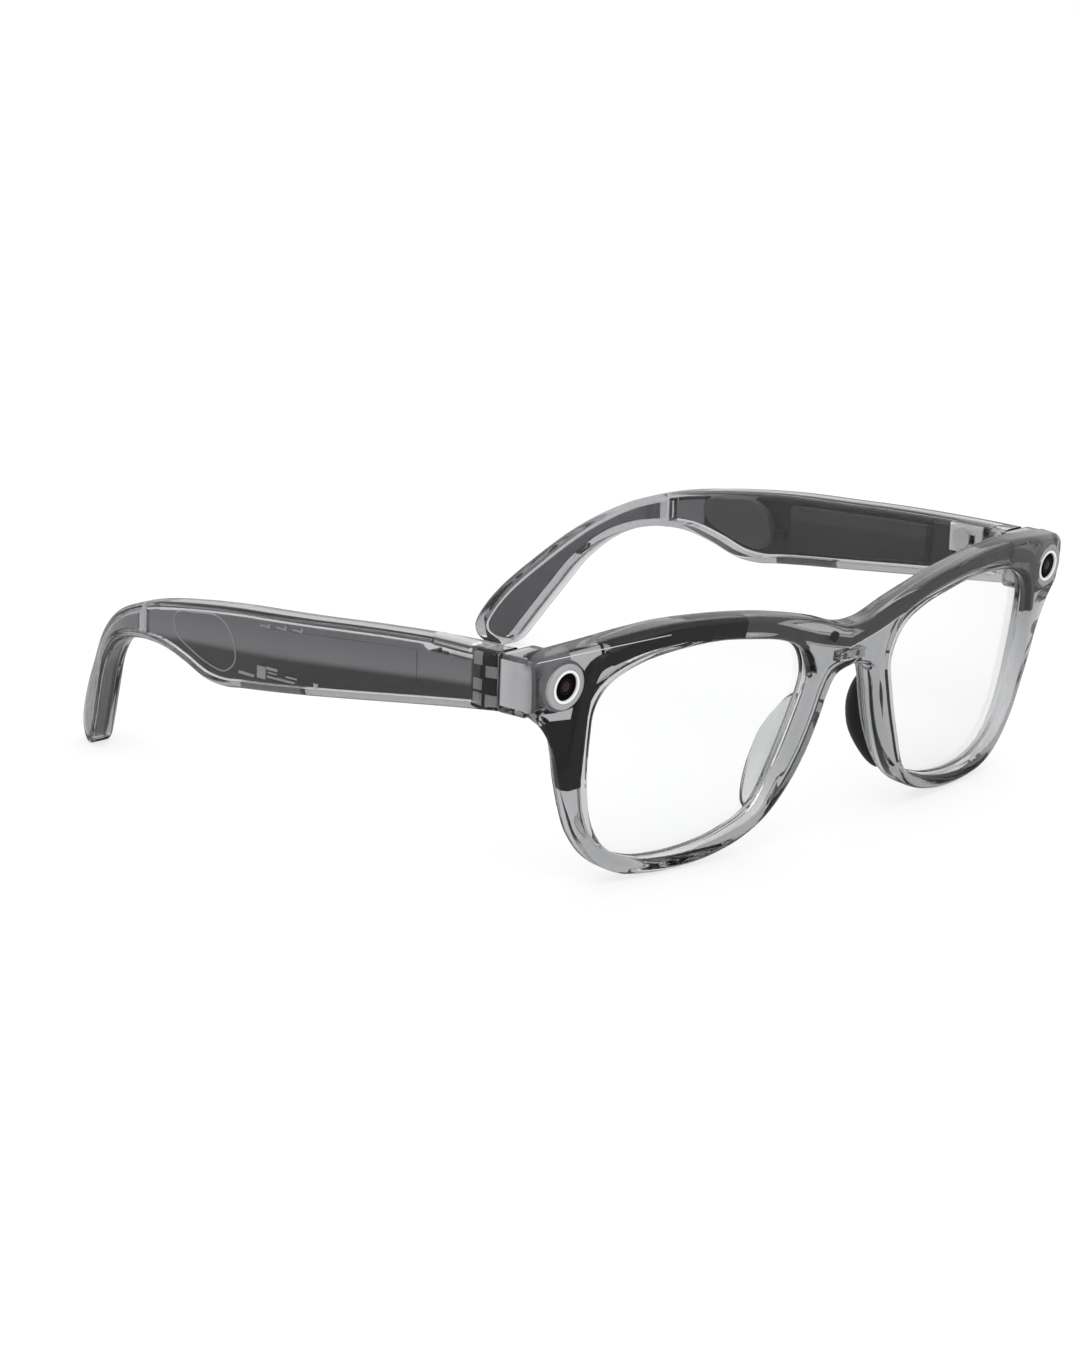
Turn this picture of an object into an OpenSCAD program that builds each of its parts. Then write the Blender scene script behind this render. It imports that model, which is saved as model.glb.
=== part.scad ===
// Smart glasses: clear smoke frame with a camera, a capture light, open-ear speakers and folding temples.
// Millimetres. +X is the wearer's left, -Y is forwards, +Z is up. The rims and the tips rest on z = 0.

/* [Front] */
// Backward lean of the rims, degrees
rake = 6.1; // [5:0.1:7]
// Radius of the front's wrap, seen from above
wrap_r = 274; // [240:1:320]
// How far the front face stands in front of the lens line
face_proud = 1.2; // [1:0.1:1.5]
// Depth of the front behind the lens line
face_depth = 3.7; // [3.4:0.1:4.2]
// Lens thickness
lens_t = 1.6; // [1.2:0.1:1.8]

/* [Camera and light] */
// Distance of each module from the middle of the glasses
module_x = 67; // [66:0.1:67.5]
// Height of the modules above the lens datum
module_h = 10.5; // [10:0.1:11]
// How far the modules turn outwards, degrees
module_toe = 4; // [2:0.5:6]
// Radius of the black window
window_r = 2.4; // [2.2:0.05:2.5]
// Outer radius of the bright ring round a window
ring_r = 2.9; // [2.8:0.05:3]
// Outer radius of a bezel
bezel_r = 4; // [3.8:0.05:4.2]
// Outer radius of the housing behind the bezel
housing_r = 4.4; // [4.2:0.1:4.5]

/* [Temples] */
// Thickness of a temple, inside to outside
temple_t = 6; // [5.8:0.1:6.2]
// Thickness of the clear walls
wall = 1.2; // [1:0.1:1.3]
// Depth from the outer face at which the shell meets the inner cover
split = 4.2; // [4.1:0.05:4.3]

/* [Hinges] */
// Distance of each hinge axis from the middle
hinge_x = 67.6; // [67.5:0.05:67.7]
// Radius of the knuckles
knuckle_r = 1.5; // [1.3:0.05:1.5]
// Radius of the hinge screw
screw_r = 0.7; // [0.6:0.05:0.8]
// Running clearance round the screw
running = 0.05; // [0.03:0.01:0.08]

/* [Controls] */
// Travel of the capture button
button_travel = 0.4; // [0.3:0.05:0.4]
// Travel of the power switch
switch_travel = 2; // [1.5:0.1:2]

/* [Hidden] */
$fn = 64;
// Height of the lens datum's pivot above the ground, and its place in the depth
pivot = [0, 1, 40];
pivot_h = 15;
// Depth from the front of the brow to the end of the tips
overall_depth = 135.2;
// Rear face of the end blocks, hinge axis and front end of the temples
block_y = 18.1;
hinge_y = 19.6;
temple_y = 18.5;
// Levels of the hinge: lower front knuckle, middle knuckle, upper front knuckle
knuckle_z = [33.2, 34.9, 35.0, 37.8, 37.9, 39.6];
eps = 0.05;
steps = 4;
// Size of a box that is sure to reach past the glasses
far = 80;
// Height and length of the space for the hinge bracket in an end block
bracket_z = 32.4;
bracket_h = 7.8;
// Stretches of a temple that are hollow: the electronics behind the hinge, and the tip
core_y = [22.3, 100.5];
tip_y = 102.5;
tip_wall = 0.9;
temple_end = 140;
// Depths from a temple's outer face of the layers inside it
sensor_d = [1.25, 1.45];
carrier_d = [1.5, 2.1];
board_d = [2.6, 3];
can_d = [3, 4];
battery_d = [2.3, 4.1];
speaker_d = [2.2, 4.1];
mic_d = [3, 4.1];
antenna_d = [2.3, 2.6];
// Stretch of the sound port along the lower edge, and the pitch and width of its slots
port_y = [61, 75];
slot_pitch = 2;
slot_w = 0.8;
// Capture button: middle of its cap as [x, y], its width and length, and the level of its tongue
button_at = [71.3, 28.5];
button_size = [2.6, 10];
tongue_z = 39.1;
tongue_t = 0.5;
// Level of the key switch below the tongue
switch_z = 37.3;
// Power switch: middle of its knob at rest as [y, z], and the radius of the flange that keeps it in
switch_at = [28.5, 37.9];
knob_r = 1.9;
flange_r = 1.3;

// Half of the front's outline, from the top of the bridge out and down and back to under the bridge
front_half = [
  [0, 12.6], [4, 13], [10.7, 15], [18, 16.6], [26, 17.9], [36, 18.8], [46, 19], [54, 18.3],
  [62, 17.1], [68.5, 16.1], [72.2, 15.1], [73.6, 13], [73.7, 9.5], [73.1, 6.2], [69.6, 3],
  [66.9, -1.4], [65.2, -6.5], [63, -11.8], [60.4, -17], [56.2, -21.6], [50.5, -24.5], [43, -25.3],
  [36, -25.1], [30, -24.2], [24, -22.4], [18.4, -19.3], [13.9, -14.8], [10.2, -9], [7.7, -3],
  [6.4, 1], [4.5, 4.1], [0, 5.2]
];
// The rear half of the rims is narrower on the outer side, from the end block down
rear_side = [[65.8, 4], [64.9, -1.4], [63.8, -6.5], [62.2, -11.8], [59.9, -17.2], [55.8, -21.9]];
// Visible opening of the wearer's left lens
aperture = [
  [60.4, 1], [60, 6.4], [57, 10.3], [50.9, 12.9], [43, 14.2], [35, 14.5], [26.9, 13.7],
  [19.5, 12.4], [13.8, 9.8], [11.3, 4.6], [13.1, -2], [16.4, -10], [20.5, -17.5], [27, -20.6],
  [34, -22.1], [41.5, -22.6], [48.5, -21.9], [54.4, -19.2], [58.2, -14], [59.9, -7]
];
// Middle line of the brow, from the bridge to the wearer's left end block
brow_half = [
  [0, 8.9], [8, 10.7], [14, 12.5], [21, 14.6], [29, 15.9], [37, 16.5], [45, 16.4], [52, 15.5], [57.5, 14]
];
// Side view of a temple: top edge from the hinge to the tip, and the lower edge back again, as [y, z]
temple_side = [
  [temple_y, 41.2], [27, 41.1], [36, 40.8], [47, 40.2], [58, 39.4], [75, 38.2], [89, 36.5], [100.4, 34.4],
  [109.8, 31.1], [118.4, 25.5], [126.4, 17.5], [131.6, 11.4], [134.8, 5.8], [135, 2.6], [133.2, 0.5],
  [130.6, 0], [128.6, 1.6], [126, 5.9], [122, 12.7], [118, 19], [112.3, 24.2], [104.7, 27],
  [96.8, 27.5], [90.1, 26], [84.4, 24.1], [79.1, 23.7], [73.7, 24.4], [58, 26.2], [42, 28.2],
  [27, 30.1], [temple_y, 31.1]
];
// Outer face of the wearer's left temple seen from above, as [y, x]
temple_plan = [
  [temple_y, 73.1], [27, 73.4], [36, 73.9], [52, 75.1], [67, 75.9], [78, 75.5], [89, 74.7], [100, 73.5],
  [109.5, 71.1], [118, 66.9], [126.5, 61.4], [136, 55.5]
];
// Sound chamber behind the ear, as [y, z]
speaker_side = [
  [81.5, 35.7], [78, 33.8], [76.5, 30.2], [77, 28], [79.6, 26.4], [84, 27], [88, 28.4], [91.4, 30],
  [92.8, 32.5], [91.6, 34.5], [87, 35.2]
];

// Point at t on the curve through b and c, with neighbours a and d
function spline(a, b, c, d, t) =
  0.5 * (2 * b + (c - a) * t + (2 * a - 5 * b + 4 * c - d) * t * t + (3 * b - a - 3 * c + d) * t * t * t);
function wrapped(p, i) = p[(i + len(p)) % len(p)];
function clamped(p, i) = p[max(0, min(len(p) - 1, i))];
// Smooth closed loop, and smooth open line, through the points
function loop(p, n = steps) = [
  for (i = [0:len(p) - 1], s = [0:n - 1])
    spline(wrapped(p, i - 1), p[i], wrapped(p, i + 1), wrapped(p, i + 2), s / n)
];
function line(p, n = steps) = concat(
  [for (i = [0:len(p) - 2], s = [0:n - 1])
    spline(clamped(p, i - 1), p[i], p[i + 1], clamped(p, i + 2), s / n)],
  [p[len(p) - 1]]
);
function flipped(p) = [for (i = [len(p) - 1:-1:0]) p[i]];
function mirrored(p) = [for (q = flipped(p)) [-q[0], q[1]]];
function unit(v) = v / norm(v);
function total(v, i = 0) = i == len(v) ? 0 : v[i] + total(v, i + 1);
// +1 where a closed loop runs anticlockwise, -1 where it runs clockwise
function turn(p) = sign(total([
  for (i = [0:len(p) - 1]) p[i][0] * wrapped(p, i + 1)[1] - wrapped(p, i + 1)[0] * p[i][1]
]));
// A closed loop moved outwards by d, and an open line moved to its left by d
function grown(p, d) = [
  for (i = [0:len(p) - 1])
    let (u = unit(wrapped(p, i + 1) - wrapped(p, i - 1)))
    p[i] + d * turn(p) * [u[1], -u[0]]
];
function shifted(p, d) = [
  for (i = [0:len(p) - 1])
    let (u = unit(clamped(p, i + 1) - clamped(p, i - 1)))
    p[i] + d * [-u[1], u[0]]
];
function ribbon(p, w) = concat(shifted(p, w / 2), flipped(shifted(p, -w / 2)));

// Where the drafted side replaces the front's own points: from flare_i on
flare_i = 14;
rear_half = [for (i = [0:len(front_half) - 1])
  i < flare_i || i >= flare_i + len(rear_side) ? front_half[i] : rear_side[i - flare_i]];
function both_sides(half) = concat(line(half), flipped([for (q = line(half)) if (q[0] > 0.01) [-q[0], q[1]]]));
front_line = both_sides(front_half);
rear_line = both_sides(rear_half);
aperture_line = loop(aperture);
brow_line = concat(mirrored([for (q = line(brow_half)) if (q[0] > 0.01) q]), line(brow_half));
// The ends of a temple are cut square, so its two edges are separate lines
side_line = line(temple_side, 3);
plan_line = line(temple_plan, 3);

// Moves a piece from the plane of the front's depth to the middle of the glasses
module seat() {
  translate([0, -overall_depth / 2, 0]) children();
}

// Leans the front: inside, z is the height above the lens datum and y the depth behind the lens line
module leaned() {
  seat() translate(pivot) rotate([rake, 0, 0]) translate([0, 0, -pivot_h]) children();
}

// Curved sheet between two depths behind the lens line
module sheet(y1, y2) {
  translate([0, wrap_r, -far / 2]) difference() {
    cylinder(r = wrap_r - y1, h = far, $fn = 360);
    translate([0, 0, -1]) cylinder(r = wrap_r - y2, h = far + 2, $fn = 360);
  }
}

// Outline of the front, cut from the sheet between two depths
module front_cut(points, y1, y2) {
  intersection() {
    translate([0, 30, 0]) rotate([90, 0, 0]) linear_extrude(40) polygon(points);
    sheet(y1, y2);
  }
}

module right() {
  mirror([1, 0, 0]) children();
}

// Axis of the wearer's left module, with its mouth at the origin and its depth along +Y
module module_axis(side) {
  wrap_y = wrap_r - sqrt(pow(wrap_r, 2) - pow(module_x, 2));
  leaned() translate([side * module_x, wrap_y - face_proud - 0.2, module_h])
    rotate([-90, 0, side * module_toe]) children();
}

// Ring or disc on a module's axis, between two depths
module module_ring(side, r_out, r_in, d1, d2) {
  module_axis(side) translate([0, 0, d1]) difference() {
    cylinder(r = r_out, h = d2 - d1);
    if (r_in > 0) translate([0, 0, -1]) cylinder(r = r_in, h = d2 - d1 + 2);
  }
}

// End block that carries the hinge, on the wearer's left
module end_block() {
  difference() {
    seat() translate([0, 0, 31.4]) linear_extrude(9.9)
      polygon([[64.4, 11.6], [73.5, 11.6], [73.2, block_y], [65, block_y]]);
    leaned() translate([0, wrap_r, -far / 2]) difference() {
      translate([-far, -wrap_r - 20, 0]) cube([2 * far, 40, far]);
      cylinder(r = wrap_r - 1, h = far, $fn = 360);
    }
  }
}

// Space of the hinge bracket in an end block
module bracket_space() {
  seat() translate([66.1, 14.1, bracket_z]) cube([6.1, 5, bracket_h]);
  seat() translate([71.5, 11.4, bracket_z]) cube([0.7, 4, bracket_h]);
}

// Dark carrier inside the brow and the outer rim; reach is its inner end and drop its lowest point
module carrier_shape(side, reach, drop) {
  band = [for (q = line(brow_half)) if (q[0] >= reach) q];
  rim = [[56, 14.4], [60, 12.9], [61.6, 9], [62.2, 4], [62.7, -2], [62, -8]];
  arm = [for (q = line(rim)) if (q[1] >= drop) q];
  leaned() mirror([side < 0 ? 1 : 0, 0, 0]) {
    front_cut(ribbon(band, 2.4), 0.2, 2.2);
    front_cut(ribbon(arm, 2), 0.2, 2.2);
  }
}

module module_space(side) {
  module_ring(side, bezel_r, 0, -3, 1.3);
  module_ring(side, housing_r, 0, 1.25, 6.2);
}

module front_frame() {
  color([0.62, 0.63, 0.65], 0.55) difference() {
    union() {
      leaned() front_cut(front_line, -face_proud, face_depth / 2);
      leaned() front_cut(rear_line, face_depth / 2 - eps, face_depth);
      end_block();
      right() end_block();
    }
    for (side = [0, 1]) mirror([side, 0, 0]) {
      leaned() front_cut(aperture_line, -face_proud - 2, face_depth + 2);
      // The opening flares out in steps towards the front face and the rear face
      for (i = [1:3]) leaned() {
        front_cut(grown(aperture_line, 0.4 * i), -face_proud - 2, 0.4 - 0.4 * i);
        front_cut(grown(aperture_line, 0.3 * i), face_depth - 1.3 + 0.3 * i, face_depth + 2);
      }
      leaned() front_cut(grown(aperture_line, 0.7), 0.8, 0.8 + lens_t);
      bracket_space();
      // Room for the middle knuckle and the end of the temple's hinge
      seat() translate([hinge_x, hinge_y, bracket_z]) cylinder(r = knuckle_r + 0.2, h = bracket_h);
    }
    for (side = [-1, 1]) module_space(side);
    carrier_shape(-1, 27, -8);
    carrier_shape(1, 49, 2);
    leaned() front_cut(ribbon(brow_line, 2.4), 2.3, face_depth + 2);
    leaned() translate([-3.5, 0, 5.9]) cube([7, 9, 2.2]);
    leaned() translate([-6.2, 0, 11.2]) rotate([-90, 0, 0]) cylinder(r = 1, h = 1.2);
  }
}

module brow_cover() {
  color([0.66, 0.67, 0.69], 0.6) leaned() front_cut(ribbon(brow_line, 2.4), 2.65, face_depth);
}

module lens() {
  color([0.9, 0.92, 0.93], 0.3) leaned() front_cut(grown(aperture_line, 0.65), 0.8, 0.8 + lens_t);
}

// Nose pad of the wearer's left side: a lobe behind the rim that spreads away from the nose
module nose_pad() {
  color([0.2, 0.2, 0.21]) intersection() {
    leaned() hull() {
      translate([10.4, 4.2, -1.6]) sphere(r = 2, $fn = 24);
      translate([12.5, 6.2, -6.4]) sphere(r = 2, $fn = 24);
      translate([14.6, 6.1, -11.6]) sphere(r = 2, $fn = 24);
      translate([18.4, 4.6, -17.4]) sphere(r = 1.8, $fn = 24);
    }
    leaned() translate([0, wrap_r, -far / 2]) cylinder(r = wrap_r - face_depth, h = far, $fn = 360);
  }
}

module light_bezel() {
  color([0.66, 0.67, 0.68]) module_ring(-1, bezel_r, ring_r, 0, 1.25);
}

module light_trim_ring() {
  color([0.93, 0.93, 0.93]) module_ring(-1, ring_r, window_r, 0.05, 1.25);
}

module light_window() {
  color([0.05, 0.05, 0.05]) module_ring(-1, window_r, 0, 0.35, 1.1);
}

// Closed can behind a window
module housing(side) {
  color([0.5, 0.5, 0.51]) difference() {
    module_ring(side, housing_r, 0, 1.25, 5.2);
    module_ring(side, 2.6, 0, 1, 4.4);
  }
}

module light_housing() {
  housing(-1);
}

module light_emitter() {
  color([0.9, 0.9, 0.85]) module_ring(-1, 1.2, 0, 2.6, 3.4);
  color([0.2, 0.4, 0.3]) module_ring(-1, 2.55, 0, 3.4, 4.4);
}

module camera_bezel() {
  color([0.66, 0.67, 0.68]) module_ring(1, bezel_r, ring_r, 0, 1.25);
}

module camera_trim_ring() {
  color([0.93, 0.93, 0.93]) module_ring(1, ring_r, window_r, 0.05, 1.25);
}

module camera_window() {
  color([0.05, 0.05, 0.05]) module_ring(1, window_r, 0, 0.35, 1.1);
}

module camera_housing() {
  housing(1);
}

module camera_lens_barrel() {
  color([0.12, 0.12, 0.12]) {
    module_ring(1, 1.5, 0.7, 1.3, 2.2);
    module_ring(1, 2.2, 0.7, 2.2, 3.6);
  }
}

module camera_sensor_board() {
  color([0.15, 0.3, 0.22]) module_ring(1, 2.5, 0, 3.6, 4.4);
}

module right_brow_carrier() {
  color([0.16, 0.16, 0.17]) difference() {
    carrier_shape(-1, 27, -8);
    module_space(-1);
  }
}

module left_brow_carrier() {
  color([0.3, 0.3, 0.31]) difference() {
    carrier_shape(1, 49, 2);
    module_space(1);
  }
}

module brow_flex() {
  color([0.35, 0.25, 0.15]) leaned() front_cut(ribbon(brow_line, 1.6), 2.3, 2.6);
}

module bridge_microphone() {
  color([0.1, 0.1, 0.1]) leaned() translate([-6.2, 0.1, 11.2]) rotate([-90, 0, 0]) cylinder(r = 0.95, h = 1);
}

// Charging plate behind the bridge, under the brow cover
module charge_plate() {
  color([0.12, 0.12, 0.13]) difference() {
    leaned() translate([-3.45, 1, 5.95]) cube([6.9, 2.9, 1.7]);
    for (x = [-1.8, 1.8]) leaned() translate([x, 2, 6.8]) rotate([-90, 0, 0]) cylinder(r = 0.6, h = 3);
  }
}

module charge_contacts() {
  color([0.8, 0.65, 0.3]) for (x = [-1.8, 1.8])
    leaned() translate([x, 2, 6.8]) rotate([-90, 0, 0]) cylinder(r = 0.55, h = 1.9);
}

// Bracket in the end block with the two outer knuckles, on the wearer's left
module front_hinge(side) {
  color([0.75, 0.76, 0.77]) mirror([side < 0 ? 1 : 0, 0, 0]) difference() {
    union() {
      intersection() {
        bracket_space();
        seat() translate([60, 0, 30]) cube([20, 17.9, 12]);
      }
      for (i = [0, 4]) seat() translate([hinge_x, 0, knuckle_z[i]]) {
        translate([-1.2, 17.8, 0]) cube([2.4, hinge_y - 17.8, knuckle_z[i + 1] - knuckle_z[i]]);
        translate([0, hinge_y, 0]) cylinder(r = knuckle_r, h = knuckle_z[i + 1] - knuckle_z[i]);
      }
    }
    seat() translate([hinge_x, hinge_y, 30]) cylinder(r = screw_r, h = 12);
    // The can of the module reaches back into the bracket
    module_ring(1, housing_r + 0.1, 0, 1, 6.2);
  }
}

module hinge_screw(side) {
  color([0.85, 0.85, 0.86]) seat() translate([side * hinge_x, hinge_y, 0]) {
    translate([0, 0, knuckle_z[0]]) cylinder(r = screw_r, h = knuckle_z[5] - knuckle_z[0]);
    translate([0, 0, knuckle_z[5]]) difference() {
      cylinder(r = 1.2, h = 0.5);
      translate([-2, -0.15, 0.25]) cube([4, 0.3, 1]);
    }
  }
}

// Strip of a temple between two depths from its outer face, on the wearer's left
module strip(d1, d2) {
  seat() linear_extrude(60) polygon(concat(
    [for (q = plan_line) [q[1] - d1, q[0]]],
    [for (q = flipped(plan_line)) [q[1] - d2, q[0]]]
  ));
}

// Slab with a side view given as [y, z] points
module side_slab(points) {
  seat() translate([40, 0, 0]) rotate([90, 0, 90]) linear_extrude(50) polygon(points);
}

// Temple's own side view drawn in by d, kept between two depths y1 and y2
module side_core(d, y1, y2) {
  intersection() {
    side_slab(grown(side_line, -d));
    seat() translate([40, y1, -5]) cube([50, y2 - y1, 60]);
  }
}

// Piece of a temple between two distances from its face and two places along it
module temple_piece(d1, d2, inset, y1, y2) {
  intersection() {
    strip(d1, d2);
    side_core(inset, y1, y2);
  }
}

// Room round the hinge axis for the front's knuckles, and the slot of the temple's own arm
module hinge_pocket() {
  seat() translate([hinge_x, hinge_y, 32.8]) cylinder(r = 2.5, h = 7.6);
  temple_arm();
}

module temple_arm() {
  seat() translate([66.9, hinge_y, knuckle_z[2]]) cube([3.9, 4.2, knuckle_z[3] - knuckle_z[2]]);
}

// Plate of the temple's hinge, clear of the cover and of the button's tongue
module hinge_plate() {
  seat() translate([69.5, core_y[0] + 0.1, knuckle_z[0]]) cube([1.3, 8, 5.3]);
}

// Room of the sound port through the lower edge
module port() {
  difference() {
    intersection() {
      strip(1.5, 3.6);
      side_slab(side_line);
      seat() translate([40, port_y[0], 20]) cube([50, port_y[1] - port_y[0], 14]);
    }
    side_core(wall, 0, temple_end);
  }
}

module temple_shell() {
  color([0.6, 0.61, 0.63], 0.5) difference() {
    intersection() {
      strip(0, split);
      side_slab(side_line);
    }
    temple_piece(wall, split + 1, wall, core_y[0], core_y[1]);
    temple_piece(tip_wall, split + 1, tip_wall + 0.6, tip_y, temple_end);
    hinge_pocket();
    children();
  }
}

module temple_cover() {
  color([0.6, 0.61, 0.63], 0.5) difference() {
    intersection() {
      strip(split, temple_t);
      side_slab(side_line);
    }
    hinge_pocket();
    children();
  }
}

module temple_hinge() {
  color([0.75, 0.76, 0.77]) difference() {
    union() {
      seat() translate([hinge_x, hinge_y, knuckle_z[2]]) cylinder(r = knuckle_r, h = knuckle_z[3] - knuckle_z[2]);
      temple_arm();
      hinge_plate();
    }
    seat() translate([hinge_x, hinge_y, 30]) cylinder(r = screw_r + running, h = 12);
  }
}

module carrier() {
  color([0.22, 0.22, 0.23]) temple_piece(carrier_d[0], carrier_d[1], 1.5, 24.5, core_y[1] - 0.5);
}

module speaker() {
  color([0.14, 0.14, 0.15]) intersection() {
    strip(speaker_d[0], speaker_d[1]);
    side_slab(loop(speaker_side));
  }
}

module speaker_grille() {
  color([0.45, 0.45, 0.46]) difference() {
    port();
    intersection() {
      strip(1.9, 3.2);
      for (y = [port_y[0] + 1.2:slot_pitch:port_y[1] - 1.2])
        seat() translate([60, y, 20]) cube([20, slot_w, 12]);
    }
  }
}

module microphone(y) {
  color([0.8, 0.8, 0.8]) intersection() {
    strip(mic_d[0], mic_d[1]);
    seat() translate([60, y, 29.4]) cube([20, 2.2, 1.6]);
  }
}

module antenna() {
  color([0.7, 0.55, 0.3]) temple_piece(antenna_d[0], antenna_d[1], 1.8, 93.5, 99.5);
}

module tip_core() {
  color([0.25, 0.25, 0.26]) temple_piece(tip_wall + eps, split - eps, tip_wall + 0.65, tip_y + 0.1, temple_end);
}

// The button's round-ended outline, grown by a gap, between two levels
module button_shape(gap, z1, z2) {
  w = button_size[0] + 2 * gap;
  l = button_size[1] + 2 * gap;
  seat() translate([button_at[0], button_at[1], z1]) {
    translate([-w / 2, -(l - w) / 2, 0]) cube([w, l - w, z2 - z1]);
    for (s = [-1, 1]) translate([0, s * (l - w) / 2, 0]) cylinder(d = w, h = z2 - z1);
  }
}

// Tongue below the cap that keeps the button in, with room round it where gap and drop are given
module button_tongue(gap = 0, drop = 0) {
  seat() translate([70.1 - gap, button_at[1] - 5.9 - gap, tongue_z - drop])
    cube([1.9 + 2 * gap, 11.8 + 2 * gap, tongue_t + drop + gap]);
}

module right_temple_shell() {
  right() temple_shell() {
    button_shape(0.1, tongue_z - button_travel, far);
    port();
  }
}

module right_temple_cover() {
  right() temple_cover();
}

module right_temple_hinge() {
  right() temple_hinge();
}

module right_carrier() {
  right() difference() {
    carrier();
    button_tongue(0.35, button_travel + 0.15);
  }
}

module right_main_board() {
  color([0.12, 0.3, 0.2]) right() temple_piece(board_d[0], board_d[1], 2, 36, 72);
}

module right_shield_can() {
  color([0.8, 0.8, 0.82]) right() temple_piece(can_d[0], can_d[1], 3, 40, 56);
}

module right_touch_sensor() {
  color([0.4, 0.4, 0.42]) right() temple_piece(sensor_d[0], sensor_d[1], 2.6, 36, 68);
}

module right_speaker() {
  right() speaker();
}

module right_speaker_grille() {
  right() speaker_grille();
}

module right_microphone() {
  right() microphone(57);
}

module right_antenna() {
  right() antenna();
}

module right_tip_core() {
  right() tip_core();
}

module capture_button() {
  color([0.85, 0.85, 0.86]) right() {
    button_shape(0, tongue_z + tongue_t, 41.5);
    button_tongue();
  }
}

// Key switch under the end of the tongue: its plunger is met at the end of the travel
module button_switch() {
  color([0.2, 0.2, 0.2]) right() seat() translate([70.4, 32.9, switch_z]) {
    translate([-0.7, -1.5, 0]) cube([1.4, 3, 1]);
    cylinder(r = 0.4, h = tongue_z - button_travel - 0.02 - switch_z);
  }
}

// Room for the power switch in the wearer's left cover, with a deeper slot for the flange
module switch_space() {
  seat() translate([66, 24, 35.2]) cube([2.4, 7.4, 5.2]);
  switch_slot(67.7, 1.3, flange_r + 0.1);
}

// Slot that the switch slides in, from x over a depth, wide enough for a stem or flange of radius r
module switch_slot(x, depth, r) {
  seat() translate([x, switch_at[0] - switch_travel - r, switch_at[1] - r])
    cube([depth, switch_travel + 2 * r, 2 * r]);
}

module left_temple_shell() {
  temple_shell() port();
}

module left_temple_cover() {
  temple_cover() switch_space();
}

module left_temple_hinge() {
  temple_hinge();
}

module left_carrier() {
  carrier();
}

module left_battery() {
  color([0.72, 0.73, 0.74]) temple_piece(battery_d[0], battery_d[1], 2.4, 38, 72);
}

module left_power_board() {
  color([0.12, 0.3, 0.2]) temple_piece(2.4, board_d[1], 2, 32, 37);
}

module left_speaker() {
  speaker();
}

module left_speaker_grille() {
  speaker_grille();
}

module left_microphone() {
  microphone(73.2);
}

module left_antenna() {
  antenna();
}

module left_tip_core() {
  tip_core();
}

module power_switch_base() {
  color([0.85, 0.85, 0.86]) difference() {
    seat() translate([67.7, 24, 35.2]) cube([0.7, 7.4, 5.2]);
    switch_slot(67, 2, 0.9);
  }
}

module power_switch_knob() {
  color([0.9, 0.9, 0.91]) seat() translate([0, switch_at[0], switch_at[1]]) rotate([0, 90, 0]) {
    translate([0, 0, 67.05]) cylinder(r = knob_r, h = 0.6);
    translate([0, 0, 67.65]) cylinder(r = 0.85, h = 0.9);
    translate([0, 0, 68.5]) cylinder(r = flange_r, h = 0.3);
  }
}

front_frame();
brow_cover();
right() lens();  // lens_right
lens();  // lens_left
right() nose_pad();  // nose_pad_right
nose_pad();  // nose_pad_left
light_bezel();
light_trim_ring();
light_window();
light_housing();
light_emitter();
camera_bezel();
camera_trim_ring();
camera_window();
camera_housing();
camera_lens_barrel();
camera_sensor_board();
right_brow_carrier();
left_brow_carrier();
brow_flex();
bridge_microphone();
charge_plate();
charge_contacts();
front_hinge(-1);  // right_front_hinge
front_hinge(1);  // left_front_hinge
hinge_screw(-1);  // right_hinge_screw
hinge_screw(1);  // left_hinge_screw
right_temple_shell();
right_temple_cover();
right_temple_hinge();
right_carrier();
right_main_board();
right_shield_can();
right_touch_sensor();
right_speaker();
right_speaker_grille();
right_microphone();
right_antenna();
right_tip_core();
capture_button();
button_switch();
left_temple_shell();
left_temple_cover();
left_temple_hinge();
left_carrier();
left_battery();
left_power_board();
left_speaker();
left_speaker_grille();
left_microphone();
left_antenna();
left_tip_core();
power_switch_base();
power_switch_knob();
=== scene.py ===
import math
import bpy
from mathutils import Matrix, Vector


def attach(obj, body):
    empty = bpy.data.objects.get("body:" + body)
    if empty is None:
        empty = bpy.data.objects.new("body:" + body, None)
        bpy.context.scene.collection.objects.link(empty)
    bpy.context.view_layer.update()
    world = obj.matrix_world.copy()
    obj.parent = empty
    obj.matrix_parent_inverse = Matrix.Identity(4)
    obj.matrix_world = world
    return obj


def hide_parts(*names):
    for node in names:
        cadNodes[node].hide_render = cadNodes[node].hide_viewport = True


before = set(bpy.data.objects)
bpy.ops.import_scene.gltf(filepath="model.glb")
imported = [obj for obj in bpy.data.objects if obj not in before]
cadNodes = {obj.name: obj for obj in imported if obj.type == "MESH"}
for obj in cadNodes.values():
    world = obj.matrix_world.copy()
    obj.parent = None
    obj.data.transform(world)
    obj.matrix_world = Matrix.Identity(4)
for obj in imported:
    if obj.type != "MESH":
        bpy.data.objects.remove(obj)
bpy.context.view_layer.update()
mm = 0.001
depthShift = -67.6   # half of the glasses' depth, so that the middle is at y = 0


# Outlines and small helpers

def splinePoint(a, b, c, d, t):
    bend, twist = 2 * a - 5 * b + 4 * c - d, 3 * b - a - 3 * c + d
    return 0.5 * (2 * b + (c - a) * t + bend * t * t + twist * t ** 3)


def smoothLoop(points, steps):
    pts = [Vector(p) for p in points]
    n = len(pts)
    return [splinePoint(pts[i - 1], pts[i], pts[(i + 1) % n], pts[(i + 2) % n], s / steps)
            for i in range(n) for s in range(steps)]


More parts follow.
